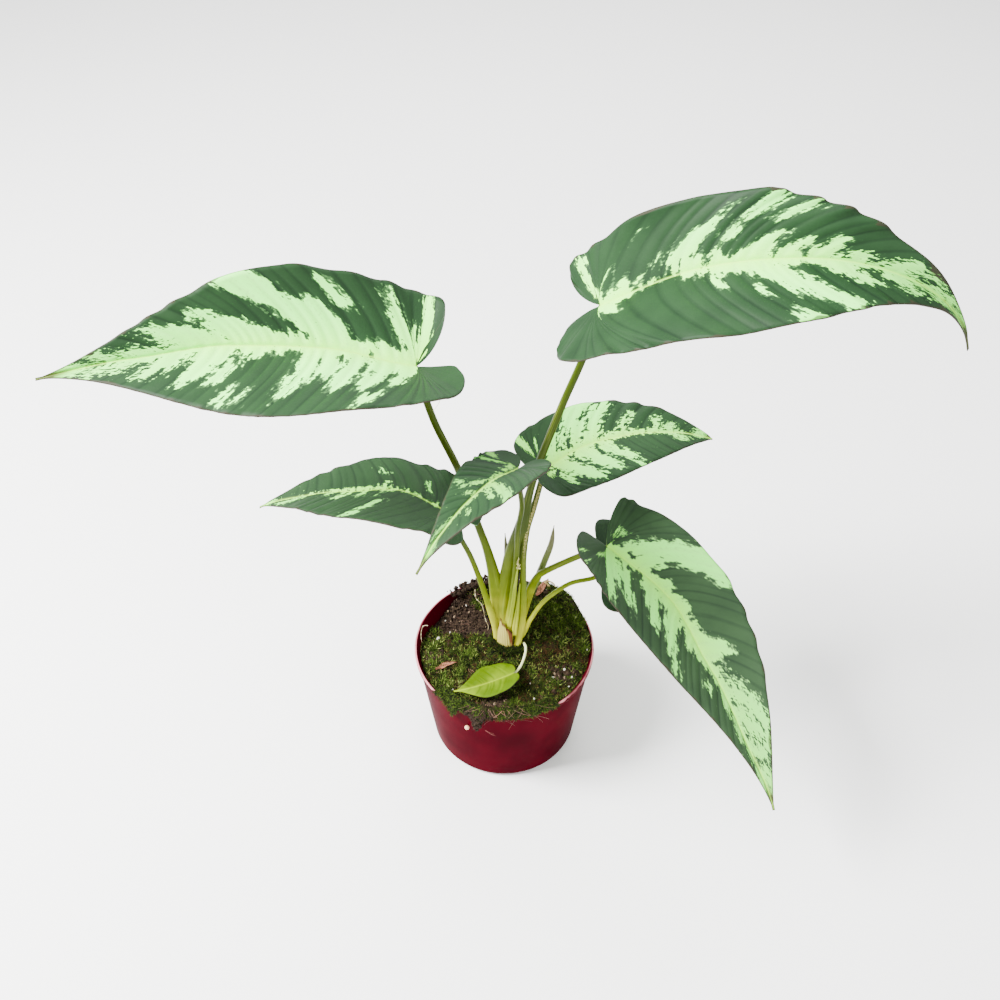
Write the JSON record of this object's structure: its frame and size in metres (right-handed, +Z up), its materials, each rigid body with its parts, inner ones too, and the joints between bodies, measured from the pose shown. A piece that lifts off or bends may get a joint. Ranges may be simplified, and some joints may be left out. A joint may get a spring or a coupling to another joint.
{
  "type": "potted schismatoglottis pusilla",
  "caption": "Aroid house plant in a small round nursery pot: arching stalks from one crown carry pointed heart-based leaves, dark green splashed with pale mint, over mossy soil.",
  "frame": {"origin": "centre of the pot's underside, on the surface that the pot stands on", "axes": "+Z up; +X to the right seen from the front, along the span of the two big upper leaves; +Y away from the viewer"},
  "size_m": [0.396, 0.1757, 0.3415],
  "materials": {
    "pot": "thin crimson moulded plastic, soft gloss",
    "soil": "damp dark peat and bark mix with perlite",
    "moss": "short tufted green moss",
    "crown": "pale fleshy stem base",
    "papery_sheath": "dry papery tan skin",
    "petiole": "smooth green stalk, pale at the foot",
    "shoot": "rolled young leaf, brownish tip",
    "blade": "satin leaf, dark green with pale mint markings",
    "lime_blade": "thin yellow-green leaf",
    "withered": "withered brown leaf scrap"
  },
  "bodies": {
    "root": {"blade_centre": "blade", "blade_hidden": "blade", "blade_lime": "lime_blade", "blade_lower_right": "blade", "blade_middle_left": "blade", "blade_middle_right": "blade", "blade_upper_left": "blade", "blade_upper_right": "blade", "crown": "crown", "moss": "moss", "papery_sheath": "papery_sheath", "petiole_centre": "petiole", "petiole_hidden": "petiole", "petiole_lime": "petiole", "petiole_lower_right": "petiole", "petiole_middle_left": "petiole", "petiole_middle_right": "petiole", "petiole_upper_left": "petiole", "petiole_upper_right": "petiole", "pot": "pot", "shoot_left": "shoot", "shoot_right": "shoot", "soil": "soil", "withered_scrap_left": "withered", "withered_scrap_right": "withered"}
  },
  "joints": []
}
